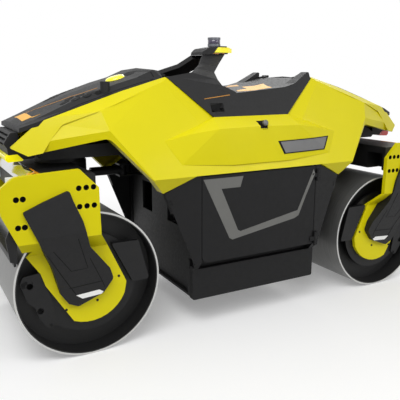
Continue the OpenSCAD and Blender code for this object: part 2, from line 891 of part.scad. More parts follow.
// Brackets inside the drum end: tie-down with two slots ahead, valve box behind
tie_rows = [
    [380, 760, 0], [520, 745, 20], [545, 690, 20], [495, 529, 20], [440, 475, 20], [410, 370, 20],
    [340, 268, 30], [270, 320, 20], [300, 500, 0]
];
tie_slots = [[470, 660], [400, 440]];
box_rows = [[-200, 921, 10], [-440, 918, 20], [-530, 560, 20], [-379, 557, 10]];

// Scales what sits inside a drum end with the drum
module in_drum() {
    share = drum_d / design_drum_d;
    scale([share, 1, share]) children();
}

module brackets() {
    difference() {
        in_drum() side_prism(hub_y, hub_y + 20) polygon(rounded(tie_rows));
        in_drum() for (slot = tie_slots)
            translate([slot[0], 0, slot[1]]) rod_y(26, 0, 1000);
        side_prism(0, 1000) polygon(rounded(plate_rows));
    }
    difference() {
        in_drum() side_prism(hub_y, hub_y + 50) polygon(rounded(box_rows));
        side_prism(0, 1000) polygon(rounded(plate_rows));
    }
}

scraper_rise = 250;

module scraper() {
    blade_z = axle_z + scraper_rise;
    blade_x = sqrt(drum_r * drum_r - scraper_rise * scraper_rise) + 12;
    translate([blade_x, -drum_y, blade_z]) cube([16, 2 * drum_y, 90]);
    translate([blade_x, -plate_y + face_gap, blade_z + 60]) cube([50, 2 * plate_y - 2 * face_gap, 50]);
    both_sides() side_prism(plate_y - 16, plate_y - face_gap) polygon([
        [blade_x, blade_z + 40], [blade_x + 50, blade_z + 60], [640, low(1100)], [600, low(1180)], [470, low(1180)],
        [470, bend_top + 20], [blade_x - 8, bend_top + 10]
    ]);
}

module lamps() {
    both_sides() translate([head_x1, 300, head_z0 + 90]) cube([60, 240, 90]);
}

module drum() {
    translate([0, 0, axle_z]) {
        difference() {
            rod_y(drum_r, -drum_y, drum_y);
            rod_y(drum_r - drum_wall, -drum_y - 1, drum_y + 1);
        }
        both_sides() difference() {
            rod_y(drum_r - drum_wall / 2, web_y - web_t, web_y);
            rod_y(axle_r + fit, web_y - web_t - 1, web_y + 1);
        }
        both_sides() difference() {
            rod_y(axle_r + 60, web_y - 100, web_y);
            rod_y(axle_r + fit, web_y - 101, web_y + 1);
        }
    }
}

module at_front() {
    translate([axle_x, 0, 0]) children();
}

module at_rear() {
    mirror([1, 0, 0]) translate([axle_x, 0, 0]) children();
}

// Steering cylinder along x, from a bracket on the frame to a fork on the crosshead
cylinder_r = 44;
cylinder_rod_r = 22;
cylinder_z = head_z0 + 60;
anchor_x = frame_end + 270;
anchor_y = -300;
lug_x = axle_x - 150;
barrel_l = (lug_x - anchor_x) * 0.6;
rod_x0 = anchor_x + (lug_x - anchor_x) * 0.36;
eye_r = 36;
eye_half = 26;
anchor_half = 48;
anchor_pin_r = 20;
bracket_gap = 0.5;

module barrel() {
    translate([anchor_x, anchor_y, cylinder_z]) difference() {
        union() {
            rotate([0, 90, 0]) cylinder(r = cylinder_r, h = barrel_l);
            translate([0, 0, -anchor_half]) cylinder(r = cylinder_r, h = 2 * anchor_half);
        }
        translate([60, 0, 0]) rotate([0, 90, 0]) cylinder(r = cylinder_rod_r + fit, h = barrel_l);
        translate([0, 0, -60]) cylinder(r = anchor_pin_r + fit, h = 120);
    }
}

module piston_rod() {
    translate([rod_x0, anchor_y, cylinder_z]) rotate([0, 90, 0]) cylinder(r = cylinder_rod_r, h = lug_x - rod_x0);
    translate([lug_x, anchor_y, cylinder_z - eye_half]) cylinder(r = eye_r, h = 2 * eye_half);
}

// Plates above and below a cylinder's eye, from x0 to x1
module fork(x0, x1, half_height) {
    for (z = [-half_height - bracket_gap - 16, half_height + bracket_gap])
        translate([x0, anchor_y - 60, cylinder_z + z]) cube([x1 - x0, 120, 16]);
}

module front_crosshead() {
    color(black) at_front() on_drums() crosshead();
}

module rear_crosshead() {
    color(black) at_rear() on_drums() crosshead();
}

module front_left_plate() {
    color(yellow) at_front() plate();
}

module front_right_plate() {
    color(yellow) at_front() mirror([0, 1, 0]) plate();
}

module rear_left_plate() {
    color(yellow) at_rear() plate();
}

module rear_right_plate() {
    color(yellow) at_rear() mirror([0, 1, 0]) plate();
}

module front_left_cover() {
    color(black) at_front() cover();
}

module front_right_cover() {
    color(black) at_front() mirror([0, 1, 0]) cover();
}

module rear_left_cover() {
    color(black) at_rear() cover();
}

module rear_right_cover() {
    color(black) at_rear() mirror([0, 1, 0]) cover();
}

module front_hubs() {
    color(black) at_front() both_sides() hub();
}

module rear_hubs() {
    color(black) at_rear() both_sides() hub();
}

module front_brackets() {
    color(black) at_front() both_sides() brackets();
}

module rear_brackets() {
    color(black) at_rear() both_sides() brackets();
}

module front_scraper() {
    color(black) at_front() scraper();
}

module rear_scraper() {
    color(black) at_rear() scraper();
}

module front_lamps() {
    color(clear_lamp) at_front() on_drums() lamps();
}

module rear_lamps() {
    color("#c02a20") at_rear() on_drums() lamps();
}

module front_drum() {
    color(steel) at_front() drum();
}

module rear_drum() {
    color(steel) at_rear() drum();
}

module front_barrel() {
    color(black) on_drums() barrel();
}

module rear_barrel() {
    color(black) mirror([1, 0, 0]) on_drums() barrel();
}

module front_rod() {
    color(steel) on_drums() piston_rod();
}

module rear_rod() {
    color(steel) mirror([1, 0, 0]) on_drums() piston_rod();
}

main_frame();
engine_block();
front_arm();
rear_arm();
left_shell();
right_shell();
left_flank();
right_flank();
left_skirt();
right_skirt();
saddle_deck();
master_switch();
mast_wings();
mast_bridge();
scanner();
mast_dome();
front_nose();
rear_nose();
front_lens();
rear_lens();
left_door();
right_door();
front_hood();
rear_hood();
position_dome();
round_cap();
front_crosshead();
front_left_plate();
front_right_plate();
front_left_cover();
front_right_cover();
front_hubs();
front_brackets();
front_scraper();
front_lamps();
front_drum();
rear_crosshead();
rear_left_plate();
rear_right_plate();
rear_left_cover();
rear_right_cover();
rear_hubs();
rear_brackets();
rear_scraper();
rear_lamps();
rear_drum();
front_barrel();
front_rod();
rear_barrel();
rear_rod();
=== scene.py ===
import json
import math

import bmesh
import bpy
from mathutils import Matrix, Vector
from mathutils.bvhtree import BVHTree


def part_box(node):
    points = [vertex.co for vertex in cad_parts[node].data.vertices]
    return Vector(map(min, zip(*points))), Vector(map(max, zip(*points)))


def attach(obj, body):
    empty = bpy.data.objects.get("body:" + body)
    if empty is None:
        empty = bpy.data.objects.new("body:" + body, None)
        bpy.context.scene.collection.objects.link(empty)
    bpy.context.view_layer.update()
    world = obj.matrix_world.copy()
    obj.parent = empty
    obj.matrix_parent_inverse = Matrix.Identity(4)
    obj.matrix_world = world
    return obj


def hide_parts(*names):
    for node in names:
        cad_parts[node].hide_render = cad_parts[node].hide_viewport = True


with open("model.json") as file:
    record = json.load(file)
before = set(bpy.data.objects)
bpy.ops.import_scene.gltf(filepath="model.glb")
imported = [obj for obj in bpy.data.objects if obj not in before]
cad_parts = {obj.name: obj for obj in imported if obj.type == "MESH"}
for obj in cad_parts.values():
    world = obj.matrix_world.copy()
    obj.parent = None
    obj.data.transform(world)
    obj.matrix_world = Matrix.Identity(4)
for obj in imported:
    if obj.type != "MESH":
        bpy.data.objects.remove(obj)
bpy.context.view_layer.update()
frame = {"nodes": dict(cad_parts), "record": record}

scene = bpy.context.scene
scene.view_settings.view_transform = "Standard"

# Metres in the frame of the CAD: +X forward, +Y to the machine's left, +Z up
ENDS = (("front", 1), ("rear", -1))
SIDES = (("left", 1), ("right", -1))
Y_AXIS, Z_AXIS = 1, 2
AXLE_X = 1.63
DRUM_R = 0.61

# Camera at the photograph's viewing angle
LENS_MM = 49.33
SENSOR_MM = 36
CAMERA_AT = (2.882, 4.863, 2.273)
CAMERA_LOOK = (-0.4713, -0.8537, -0.2217)
CAMERA_UP = (-0.1071, -0.1941, 0.9752)
CAMERA_REACH = 200


def add_camera():
    data = bpy.data.cameras.new("camera")
    data.sensor_width = SENSOR_MM
    data.lens = LENS_MM
    data.clip_end = CAMERA_REACH
    look = Vector(CAMERA_LOOK).normalized()
    right = look.cross(Vector(CAMERA_UP)).normalized()
    up = right.cross(look)
    turn = Matrix((right, up, -look)).transposed().to_4x4()
    camera = bpy.data.objects.new("camera", data)
    camera.matrix_world = Matrix.Translation(CAMERA_AT) @ turn
    scene.collection.objects.link(camera)
    scene.camera = camera


# Node helpers
NOISE_LOW, NOISE_HIGH = 0.3, 0.7
GRAIN_DEPTH = 0.0006


def new_material(name):
    mat = bpy.data.materials.new(name)
    mat.use_nodes = True
    tree = mat.node_tree
    return mat, tree, tree.nodes["Principled BSDF"]


def feed(tree, value, socket):
    """Link an output to a socket, or set a plain value on it."""
    if isinstance(value, bpy.types.NodeSocket):
        tree.links.new(value, socket)
    else:
        socket.default_value = value


def calc(tree, operation, *values):
    node = tree.nodes.new("ShaderNodeMath")
    node.operation = operation
    for value, socket in zip(values, node.inputs):
        feed(tree, value, socket)
    return node.outputs[0]


def vector_calc(tree, operation, *values):
    node = tree.nodes.new("ShaderNodeVectorMath")
    node.operation = operation
    for value, socket in zip(values, node.inputs):
        feed(tree, value, socket)
    return node


def object_coords(tree):
    return tree.nodes.new("ShaderNodeTexCoord").outputs["Object"]


def noise(tree, scale, detail=3.0, roughness=0.5, stretch=(1, 1, 1)):
    mapping = tree.nodes.new("ShaderNodeMapping")
    mapping.inputs["Scale"].default_value = stretch
    feed(tree, object_coords(tree), mapping.inputs["Vector"])
    tex = tree.nodes.new("ShaderNodeTexNoise")
    tex.inputs["Scale"].default_value = scale
    tex.inputs["Detail"].default_value = detail
    tex.inputs["Roughness"].default_value = roughness
    feed(tree, mapping.outputs["Vector"], tex.inputs["Vector"])
    return tex.outputs["Fac"]


def two_tones(tree, value, dark, light):
    """Colour that drifts from dark to light with a noise value."""
    node = tree.nodes.new("ShaderNodeValToRGB")
    stops = ((NOISE_LOW, dark), (NOISE_HIGH, light))
    for element, (at, colour) in zip(node.color_ramp.elements, stops):
        element.position = at
        element.color = (*colour, 1)
    feed(tree, value, node.inputs["Fac"])
    return node.outputs["Color"]


def remap(tree, value, source=(0, 1), target=(0, 1), interpolation="LINEAR"):
    node = tree.nodes.new("ShaderNodeMapRange")
    node.interpolation_type = interpolation
    for number, socket in zip((*source, *target), ("From Min", "From Max", "To Min", "To Max")):
        node.inputs[socket].default_value = number
    feed(tree, value, node.inputs["Value"])
    return node.outputs["Result"]


def blend_colour(tree, factor, low, high):
    """Mix of two colours; the node's colour sockets share their names, so they go by number."""
    node = tree.nodes.new("ShaderNodeMix")
    node.data_type = "RGBA"
    feed(tree, factor, node.inputs[0])
    feed(tree, low, node.inputs[6])
    feed(tree, high, node.inputs[7])
    return node.outputs[2]


def add_grain(tree, shader, strength, height):
    bump = tree.nodes.new("ShaderNodeBump")
    bump.inputs["Strength"].default_value = strength
    bump.inputs["Distance"].default_value = GRAIN_DEPTH
    feed(tree, height, bump.inputs["Height"])
    feed(tree, bump.outputs["Normal"], shader.inputs["Normal"])


def linear(colour):
    """Linear colour of one that is written in 0 to 255."""
    values = (value / 255 for value in colour)
    return tuple(c / 12.92 if c <= 0.04045 else ((c + 0.055) / 1.055) ** 2.4 for c in values)


def shade(colour, factor):
    return tuple(min(1.0, c * factor) for c in colour)


# Materials
GLOSS_DRIFT = 0.12
COAT_ROUGHNESS = 0.12
FINE_TO_WIDE = 5


def surface(name, colour, rough, metal=0.0, coat=0.0, specular=0.5, mottle=0.06, mottle_scale=6.0,
            grain=0.0, grain_scale=900.0):
    """Painted, moulded or bare surface with a drifting tone and gloss and a fine grain."""
    mat, tree, shader = new_material(name)
    base = linear(colour)
    wide = noise(tree, mottle_scale, 4.0, 0.55)
    tone = two_tones(tree, wide, shade(base, 1 - mottle), shade(base, 1 + mottle))
    feed(tree, tone, shader.inputs["Base Color"])
    fine = noise(tree, mottle_scale * FINE_TO_WIDE, 3.0, 0.6)
    gloss = remap(tree, fine, (NOISE_LOW, NOISE_HIGH),
                  (rough * (1 - GLOSS_DRIFT), min(1.0, rough * (1 + GLOSS_DRIFT))))
    feed(tree, gloss, shader.inputs["Roughness"])
    shader.inputs["Metallic"].default_value = metal
    shader.inputs["Coat Weight"].default_value = coat
    shader.inputs["Coat Roughness"].default_value = COAT_ROUGHNESS
    shader.inputs["Specular IOR Level"].default_value = specular
    if grain:
        add_grain(tree, shader, grain, noise(tree, grain_scale, 2.0, 0.6))
    return mat


def lens_surface(name, colour, rough=0.12):
    return surface(name, colour, rough, coat=0.6, mottle=0.03, grain=0.25, grain_scale=300)


YELLOW = surface("yellow_paint", (225, 213, 4), 0.42, coat=0.08, specular=0.2,
                 mottle=0.025, mottle_scale=2.0, grain=0.10, grain_scale=260)
MOULDING = surface("black_moulding", (25, 25, 26), 0.55, specular=0.28,
                   mottle=0.10, mottle_scale=9, grain=0.35)
PANEL = surface("grey_panel", (19, 19, 20), 0.55, specular=0.22,
                mottle=0.08, mottle_scale=4, grain=0.25, grain_scale=700)
FRAME = surface("black_steel", (17, 17, 18), 0.5, specular=0.3,
                mottle=0.12, mottle_scale=7, grain=0.3, grain_scale=500)
# Near-black: the own colour of seams, the badge border and the switch plate, and painted shade
# where it fills recesses, vents, grips, pockets, slots and holes
DARK_AND_SHADE = surface("dark_and_painted_shade", (8, 8, 9), 0.7, specular=0.2,
               mottle=0.15, mottle_scale=7, grain=0.3, grain_scale=500)
BRIGHT = surface("bare_steel", (190, 190, 188), 0.25, metal=1.0, mottle=0.05, grain=0.1)
CAST = surface("engine_grey", (90, 90, 90), 0.7, mottle=0.15, grain=0.6, grain_scale=300)
HOUSING = surface("scanner_housing", (110, 112, 118), 0.4, metal=0.6, grain=0.1)
AMBER = lens_surface("amber_lens", (255, 170, 40))
RED = lens_surface("red_lens", (200, 40, 32))
CLEAR = lens_surface("clear_lens", (225, 229, 234), 0.08)
WHITE = lens_surface("white_lens", (250, 250, 248))
ORANGE = surface("orange_decal", (255, 188, 76), 0.5, mottle=0.04, mottle_scale=12, grain=0.15)
GOLD = surface("orange_line", (190, 130, 40), 0.5, mottle=0.05, mottle_scale=12, grain=0.15)
STRIPE = surface("grey_stripe", (104, 104, 101), 0.5, mottle=0.05, mottle_scale=5, grain=0.2)
BADGE = surface("grey_badge", (112, 112, 112), 0.42, metal=0.3,
                mottle=0.05, mottle_scale=10, grain=0.2)
CHROME = surface("chrome", (205, 206, 208), 0.12, metal=1.0, mottle=0.03, grain=0.05)
GLASS = surface("dark_glass", (62, 50, 82), 0.12, coat=0.8, mottle=0.1, mottle_scale=20, grain=0.05)

# The yellow lens glows a little, as fluorescent plastic does
SUN = lens_surface("yellow_lens", (255, 240, 0))
SUN_SHADER = SUN.node_tree.nodes["Principled BSDF"]
SUN_SHADER.inputs["Emission Color"].default_value = (1, 0.93, 0, 1)
SUN_SHADER.inputs["Emission Strength"].default_value = 0.3

# Drum: ground tread, bright rim edges and a near-black inside, dark paint darkened further as
# painted shade
TREAD_R = DRUM_R - 0.004
RIM_R = DRUM_R - 0.015
RIM_Y = 0.7485
TREAD_METAL = 0.55
INSIDE_ROUGH, TREAD_ROUGH = 0.6, 0.38
STREAKS, SCRATCHES = (1, 14, 1), (1, 20, 1)


def drum_surface(name, axle_x):
    mat, tree, shader = new_material(name)
    coords = object_coords(tree)
    from_axle = vector_calc(tree, "MULTIPLY_ADD", coords, (1, 0, 1), (-axle_x, 0, -DRUM_R))
    radius = vector_calc(tree, "LENGTH", from_axle.outputs["Vector"]).outputs["Value"]
    split = tree.nodes.new("ShaderNodeSeparateXYZ")
    feed(tree, coords, split.inputs[0])
    across = calc(tree, "ABSOLUTE", split.outputs["Y"])
    tread = calc(tree, "GREATER_THAN", radius, TREAD_R)
    rim = calc(tree, "MULTIPLY", calc(tree, "GREATER_THAN", across, RIM_Y),
               calc(tree, "GREATER_THAN", radius, RIM_R))
    metal = calc(tree, "MAXIMUM", tread, rim)

    streaks = noise(tree, 5, 4.0, 0.6, STREAKS)
    steel = two_tones(tree, streaks, linear((118, 118, 117)), linear((134, 134, 132)))
    # The inside is near-black: its dark paint, darkened further as painted shade
    inside_paint_and_shade = two_tones(tree, noise(tree, 8), linear((8, 8, 9)), linear((12, 12, 13)))
    body = blend_colour(tree, tread, inside_paint_and_shade, steel)
    colour = blend_colour(tree, rim, body, (*linear((200, 200, 198)), 1))
    feed(tree, colour, shader.inputs["Base Color"])
    feed(tree, calc(tree, "MULTIPLY", metal, TREAD_METAL), shader.inputs["Metallic"])
    gloss = remap(tree, metal, target=(INSIDE_ROUGH, TREAD_ROUGH))
    feed(tree, gloss, shader.inputs["Roughness"])
    add_grain(tree, shader, 0.2, noise(tree, 60, 2.0, 0.6, SCRATCHES))
    return mat


# Finish of each CAD node by its slot in the record; painted and moulded nodes get soft edges
FINISH = {
    "yellow_paint": YELLOW, "black_moulding": MOULDING, "grey_panel": PANEL, "black_steel": FRAME,
    "bare_steel": BRIGHT, "engine_grey": CAST, "yellow_lens": SUN, "red_lens": RED,
    "clear_lens": CLEAR, "scanner_housing": HOUSING,
}
SOFT_SLOTS = ("yellow_paint", "black_moulding", "grey_panel")
WIDE_EDGE, NARROW_EDGE = 0.006, 0.004
EDGE_SEGMENTS = 2
SHARP_ANGLE = math.radians(30)


def soften(obj, width):
    bevel = obj.modifiers.new("bevel", "BEVEL")
    bevel.width = width
    bevel.segments = EDGE_SEGMENTS
    bevel.limit_method = "ANGLE"
    bevel.angle_limit = SHARP_ANGLE


def dress_nodes():
    drums = {f"{end}_drum": sx * AXLE_X for end, sx in ENDS}
    slots = {row["node"]: row["material_slot"] for row in frame["record"]["subparts"]}
    for name, obj in frame["nodes"].items():
        if obj.type != "MESH":
            continue
        finish = drum_surface(name, drums[name]) if name in drums else FINISH[slots[name]]
        if not obj.material_slots:
            obj.data.materials.append(finish)
        for place in obj.material_slots:
            place.link = "OBJECT"
            place.material = finish
        if slots[name] in SOFT_SLOTS and not name.endswith("dome"):
            soften(obj, WIDE_EDGE if "plate" in name or "shell" in name else NARROW_EDGE)


# Stage: a pale floor that turns plain white further out, a white surround and soft lamps
FLOOR_REACH = 60
FLOOR_Z = -0.001
NEAR_GLOW = 0.24
WHITE_FROM, WHITE_TO = 2.4, 5.5
SURROUND_LIGHT = 0.42
# Name, place, point that it faces, size and watts of each lamp
LAMPS = (
    ("key", (3.6, 4.0, 6.5), (0.2, 0, 1.0), (5, 4), 320),
    ("fill", (-4.0, 6.5, 4.5), (-0.6, 0, 1.2), (4, 3), 120),
    ("rim", (-4, -4.5, 5.5), (0, 0, 1.5), (5, 3), 130),
)


def seen_rays(tree):
    """1 for camera, transmission and glossy rays, 0 for the rays that light the object."""
    path = tree.nodes.new("ShaderNodeLightPath")
    seen = calc(tree, "MAXIMUM", path.outputs["Is Camera Ray"], path.outputs["Is Transmission Ray"])
    return calc(tree, "MAXIMUM", seen, path.outputs["Is Glossy Ray"])


def floor_surface():
    mat, tree, shader = new_material("floor")
    seen = seen_rays(tree)
    shader.inputs["Base Color"].default_value = (0.8, 0.8, 0.8, 1)
    shader.inputs["Roughness"].default_value = 0.8
    shader.inputs["Specular IOR Level"].default_value = 0.1
    shader.inputs["Emission Color"].default_value = (1, 1, 1, 1)
    feed(tree, calc(tree, "MULTIPLY", seen, NEAR_GLOW), shader.inputs["Emission Strength"])
    white = tree.nodes.new("ShaderNodeEmission")
    feed(tree, seen, white.inputs["Strength"])
    away = vector_calc(tree, "LENGTH", object_coords(tree)).outputs["Value"]
    mix = tree.nodes.new("ShaderNodeMixShader")
    feed(tree, remap(tree, away, (WHITE_FROM, WHITE_TO), interpolation="SMOOTHSTEP"), mix.inputs[0])
    feed(tree, shader.outputs[0], mix.inputs[1])
    feed(tree, white.outputs[0], mix.inputs[2])
    feed(tree, mix.outputs[0], tree.nodes["Material Output"].inputs["Surface"])
    return mat


def add_lamp(name, at, aim, size, power):
    data = bpy.data.lights.new(name, "AREA")
    data.shape = "RECTANGLE"
    data.size, data.size_y = size
    data.energy = power
    obj = bpy.data.objects.new(name, data)
    obj.location = at
    obj.rotation_euler = (Vector(aim) - Vector(at)).to_track_quat("-Z", "Y").to_euler()
    scene.collection.objects.link(obj)


def add_stage():
    mesh = bpy.data.meshes.new("floor")
    square = ((-1, -1), (1, -1), (1, 1), (-1, 1))
    mesh.from_pydata([(x * FLOOR_REACH, y * FLOOR_REACH, 0) for x, y in square], [], [(0, 1, 2, 3)])
    mesh.materials.append(floor_surface())
    floor = bpy.data.objects.new("floor", mesh)
    floor.location.z = FLOOR_Z
    scene.collection.objects.link(floor)

    world = bpy.data.worlds.new("studio")
    scene.world = world
    world.use_nodes = True
    tree = world.node_tree
    back = tree.nodes["Background"]
    back.inputs["Color"].default_value = (1, 1, 1, 1)
    strength = remap(tree, seen_rays(tree), target=(SURROUND_LIGHT, 1))
    feed(tree, strength, back.inputs["Strength"])
    for lamp in LAMPS:
        add_lamp(*lamp)


# Pieces: meshes that ride on a body
TINY = 1e-5
MERGE = 1e-6


def piece(name, points, faces, finish, slot, body, smooth=False):
    mesh = bpy.data.meshes.new(name)
    mesh.from_pydata([tuple(point) for point in points], [], faces)
    bm = bmesh.new()
    bm.from_mesh(mesh)
    bmesh.ops.remove_doubles(bm, verts=bm.verts, dist=MERGE)
    bmesh.ops.recalc_face_normals(bm, faces=bm.faces)
    for face in bm.faces:
        face.smooth = smooth
    bm.to_mesh(mesh)
    bm.free()
    mesh.materials.append(finish)
    obj = bpy.data.objects.new(name, mesh)
    scene.collection.objects.link(obj)
    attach(obj, body)
    return obj


def many(name, parts, finish, slot, body):
    """Several small solids as one piece; each is (points, faces)."""
    points, faces = [], []
    for part_points, part_faces in parts:
        base = len(points)
        points += part_points
        faces += [[base + i for i in face] for face in part_faces]
    return piece(name, points, faces, finish, slot, body)


def ring_faces(first, second, count):
    """Four-sided faces between two rings of points, by their numbers."""
    return [[first * count + k, first * count + (k + 1) % count,
             second * count + (k + 1) % count, second * count + k] for k in range(count)]


def turned_part(at, axis, rows, count):
    """Turned solid: rows of radius and height about an axis."""
    axis = Vector(axis).normalized()
    side = axis.orthogonal().normalized()
    other = axis.cross(side)
    points, faces = [], []
    for radius, height in rows:
        for k in range(count):
            a = 2 * math.pi * k / count
            spoke = side * math.cos(a) + other * math.sin(a)
            points.append(Vector(at) + axis * height + spoke * max(radius, TINY))
    last = len(rows) - 1
    for row in range(last):
        faces += ring_faces(row, row + 1, count)
    faces.append(list(range(count))[::-1])
    faces.append([last * count + k for k in range(count)])
    return points, faces


def turned(name, rows, at, axis, finish, slot, body, count):
    return piece(name, *turned_part(at, axis, rows, count), finish, slot, body, smooth=True)


# Skins: an outline in two coordinates, laid on a node's surface along the third
BESIDE = 2.0
ABOVE = 3.0
MOST_SPLITS = 7


def fine_sheet(outline, axis, cell):
    """Flat sheet in triangles with edges no longer than cell, as far as the splits go."""
    across, along = [index for index in range(3) if index != axis]
    bm = bmesh.new()
    corners = []
    for point in outline:
        at = [0, 0, 0]
        at[across], at[along] = point
        corners.append(bm.verts.new(at))
    bm.faces.new(corners)
    bm.normal_update()
    bmesh.ops.triangulate(bm, faces=bm.faces[:])
    for _ in range(MOST_SPLITS):
        long_edges = [edge for edge in bm.edges if edge.calc_length() > cell]
        if not long_edges:
            break
        bmesh.ops.subdivide_edges(bm, edges=long_edges, cuts=1)
        bm.normal_update()
        bmesh.ops.triangulate(bm, faces=bm.faces[:])
    return bm


def nearest_hit(trees, source, ray):
    best = None
    for tree in trees:
        hit, normal, _, distance = tree.ray_cast(source, ray)
        if hit is not None and (best is None or distance < best[2]):
            best = (hit, normal, distance)
    return best


def lay(name, outline, axis, start, nodes, finish, slot, body, lift=0.0015, sink=0.004, cell=0.05):
    """Thin solid that follows the nodes, from lift above their surface to sink below it."""
    depsgraph = bpy.context.evaluated_depsgraph_get()
    trees = [BVHTree.FromObject(frame["nodes"][node], depsgraph) for node in nodes]
    ray = Vector((0, 0, 0))
    ray[axis] = -1 if start > 0 else 1
    bm = fine_sheet(outline, axis, cell)
    hits = {}
    for vert in bm.verts:
        source = vert.co.copy()
        source[axis] = start
        found = nearest_hit(trees, source, ray)
        if found:
            hits[vert] = found
    lost = [vert for vert in bm.verts if vert not in hits]
    bmesh.ops.delete(bm, geom=lost, context="VERTS")
    bm.verts.index_update()
    count = len(bm.verts)
    top, low = [None] * count, [None] * count
    for vert in bm.verts:
        hit, normal, _ = hits[vert]
        if normal.dot(ray) > 0:
            normal = -normal
        top[vert.index] = hit + normal * lift
        low[vert.index] = hit - normal * sink
    faces = [[v.index for v in face.verts] for face in bm.faces]
    faces += [[v.index + count for v in reversed(face.verts)] for face in bm.faces]
    for edge in bm.edges:
        if len(edge.link_faces) == 1:
            a, b = edge.verts[0].index, edge.verts[1].index
            faces.append([a, b, b + count, a + count])
    bm.free()
    piece(name, top + low, faces, finish, slot, body)


def lay_down(name, outline, nodes, finish, slot, body, **depths):
    lay(name, outline, Z_AXIS, ABOVE, nodes, finish, slot, body, **depths)


def lay_beside(name, outline, sy, nodes, finish, slot, body, **depths):
    lay(name, outline, Y_AXIS, sy * BESIDE, nodes, finish, slot, body, **depths)


def placed(outline, sx=1, sy=1):
    return [(sx * x, sy * y) for x, y in outline]


def oval(cx, cy, rx, ry, turn=0.0, count=20):
    points = []
    for k in range(count):
        a = 2 * math.pi * k / count
        x, y = rx * math.cos(a), ry * math.sin(a)
        points.append((cx + x * math.cos(turn) - y * math.sin(turn),
                       cy + x * math.sin(turn) + y * math.cos(turn)))
    return points


def seam(points, width):
    """Narrow band along a line of two coordinates."""
    left, right = [], []
    for k, point in enumerate(points):
        a = Vector(points[max(0, k - 1)])
        b = Vector(points[min(len(points) - 1, k + 1)])
        way = (b - a).normalized()
        side = Vector((-way.y, way.x)) * width / 2
        left.append(tuple(Vector(point) + side))
        right.append(tuple(Vector(point) - side))
    return left + right[::-1]


# Hoods, as (x, y): decals and marks on the front one, vents and edge lines on both; the recess and
# the vents are dark sheets of painted shade
HOOD_PATCH = [(1.968, -0.16), (1.889, -0.12), (1.896, 0.223), (1.978, 0.223)]
HOOD_LINE = [(1.886, -0.10), (1.777, 0.022), (1.63, 0.134), (1.478, 0.215), (1.336, 0.245)]
HOOD_TIP = [(1.896, 0.23), (1.838, 0.274), (1.907, 0.251)]
HOOD_SEAM = [(0.985, 0.02), (0.93, 0.12), (0.911, 0.28), (0.9, 0.39), (0.892, 0.43)]
HOOD_RECESS_SHADE = [(1.02, 0.023), (0.968, 0.018), (0.927, 0.112), (0.973, 0.174), (1.022, 0.152)]
HOOD_EDGE = [(0.9, 0.444), (1.4, 0.446), (1.85, 0.436)]
HOOD_VENTS = [(1.639, 0.291), (1.563, 0.353), (1.47, 0.37), (1.374, 0.382), (1.584, 0.234),
              (1.501, 0.278), (1.422, 0.329)]
VENT_HALF_X, VENT_HALF_Y = 0.040, 0.036


def hood_details():
    for end, sx in ENDS:
        hood = f"{end}_hood"
        if end == "front":
            for name, outline, finish, slot in (
                    ("hood_patch", HOOD_PATCH, ORANGE, "yellow_lens"),
                    ("hood_line", seam(HOOD_LINE, 0.012), GOLD, "yellow_lens"),
                    ("hood_tip", HOOD_TIP, ORANGE, "yellow_lens"),
                    ("hood_seam", seam(HOOD_SEAM, 0.009), DARK_AND_SHADE, "black_moulding"),
                    # Painted shade: the recess is a dark sheet, not cut in
                    ("hood_recess_shade", HOOD_RECESS_SHADE, DARK_AND_SHADE, "black_moulding")):
                lay_down(name, outline, [hood], finish, slot, hood)
        for side, sy in SIDES:
            for k, (x, y) in enumerate(HOOD_VENTS):
                # Painted shade: each vent is a dark oval laid on the hood
                lay_down(f"{end}_{side}_vent_{k}", oval(sx * x, sy * y, VENT_HALF_X, VENT_HALF_Y),
                         [hood], DARK_AND_SHADE, "black_moulding", hood, lift=0.002)
            lay_down(f"{end}_{side}_hood_edge", seam(placed(HOOD_EDGE, sx, sy), 0.006),
                     [hood], DARK_AND_SHADE, "black_moulding", hood, lift=0.001)


# Shells, as (x, z): a blank badge and its border on each belt
BADGE_BORDER = [(-0.178, 1.685), (-0.826, 1.696), (-0.741, 1.571), (-0.241, 1.563)]
BADGE_FACE = [(-0.203, 1.676), (-0.795, 1.687), (-0.728, 1.581), (-0.256, 1.573)]


def badges():
    for side, sy in SIDES:
        shell = f"{side}_shell"
        lay_beside(f"{side}_badge_border", placed(BADGE_BORDER, sy), sy, [shell],
                   DARK_AND_SHADE, "black_moulding", "chassis", lift=0.003)
        lay_beside(f"{side}_badge", placed(BADGE_FACE, sy), sy, [shell],
                   BADGE, "bare_steel", "chassis", lift=0.0055)


# Doors and flanks, as (x, z): the folded stripe on each door, a grip slot at each flank's ends,
# drawn as a dark oval of painted shade
DOOR_STRIPE = [(0.617, 1.397), (0.207, 1.396), (0.238, 1.299), (0.435, 1.3), (0.256, 0.901),
               (0.229, 0.887), (-0.423, 1.007), (-0.603, 1.393), (-0.609, 1.346),
               (-0.438, 0.956), (-0.389, 0.932), (0.314, 0.819), (0.347, 0.838)]
GRIP_X, GRIP_Z = 0.915, 1.185
GRIP_HALF_X, GRIP_HALF_Z = 0.026, 0.085
GRIP_LEAN = -0.25  # radians


def door_details():
    for side, sy in SIDES:
        door = f"{side}_door"
        lay_beside(f"{side}_stripe", DOOR_STRIPE, sy, [door], STRIPE, "grey_panel", door,
                   lift=0.0012, sink=0.001, cell=0.3)
        for end, sx in ENDS:
            # Painted shade: the grip slot is a dark oval laid on the flank
            slot = oval(sx * GRIP_X, GRIP_Z, GRIP_HALF_X, GRIP_HALF_Z, sx * GRIP_LEAN, 18)
            lay_beside(f"{side}_{end}_grip_shade", slot, sy, [f"{side}_flank"],
                       DARK_AND_SHADE, "black_moulding", "chassis", lift=0.0012)


